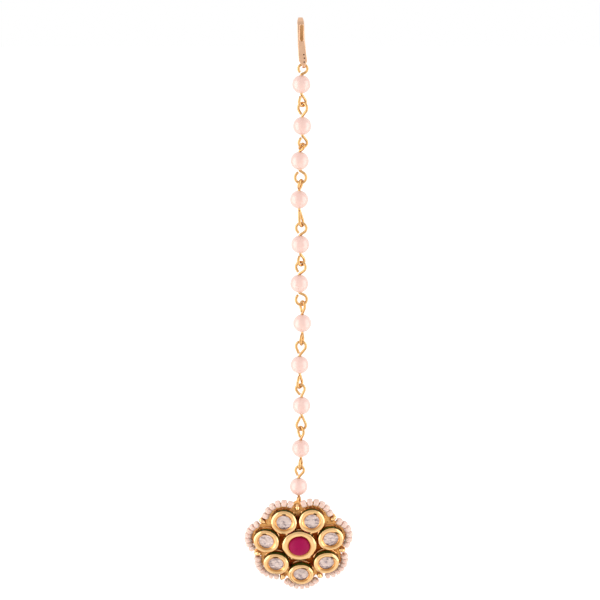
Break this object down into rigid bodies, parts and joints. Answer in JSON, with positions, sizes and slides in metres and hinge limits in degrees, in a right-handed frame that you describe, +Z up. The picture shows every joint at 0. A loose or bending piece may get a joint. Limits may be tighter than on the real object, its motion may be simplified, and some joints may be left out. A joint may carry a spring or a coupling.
{
  "type": "maang tikka",
  "caption": "Hair ornament: a hook, a chain of pearls on looped wire pins, and a round lobed drop set with stones and edged with small pearls.",
  "frame": {"origin": "inside top of the hook's bend, where it hangs over hair or a parting wire", "axes": "+Z up along the hanging chain, -Y the front that the stones face, +X to the right seen from the front"},
  "size_m": [0.0308, 0.0101, 0.1636],
  "materials": {
    "hook_plating": "polished",
    "gold_plating": "polished",
    "pearl": "satin",
    "seed_pearl": "satin",
    "clear_glass": "polished",
    "ruby_glass": "polished",
    "green_enamel": "gloss"
  },
  "bodies": {
    "chain": {"hook": "hook_plating", "eye_pin_1": "gold_plating", "eye_pin_2": "gold_plating", "eye_pin_3": "gold_plating", "eye_pin_4": "gold_plating", "eye_pin_5": "gold_plating", "eye_pin_6": "gold_plating", "eye_pin_7": "gold_plating", "eye_pin_8": "gold_plating", "eye_pin_9": "gold_plating", "eye_pin_10": "gold_plating", "eye_pin_11": "gold_plating", "pearl_1": "pearl", "pearl_2": "pearl", "pearl_3": "pearl", "pearl_4": "pearl", "pearl_5": "pearl", "pearl_6": "pearl", "pearl_7": "pearl", "pearl_8": "pearl", "pearl_9": "pearl", "pearl_10": "pearl", "pearl_11": "pearl"},
    "pendant": {"pendant_frame": "gold_plating", "ruby_stone": "ruby_glass", "clear_stone_1": "clear_glass", "clear_stone_2": "clear_glass", "clear_stone_3": "clear_glass", "clear_stone_4": "clear_glass", "clear_stone_5": "clear_glass", "clear_stone_6": "clear_glass", "clear_stone_7": "clear_glass", "seed_pearl_string_1": "seed_pearl", "seed_pearl_string_2": "seed_pearl", "seed_pearl_string_3": "seed_pearl", "seed_pearl_string_4": "seed_pearl", "seed_pearl_string_5": "seed_pearl", "seed_pearl_string_6": "seed_pearl", "seed_pearl_string_7": "seed_pearl"}
  },
  "joints": [
    {"name": "pendant_swing", "type": "hinge", "parent": "chain", "child": "pendant", "pos_m": [-0.00045, 0, -0.1356], "axis": [1, 0, 0], "range_deg": [-20, 70]}
  ]
}
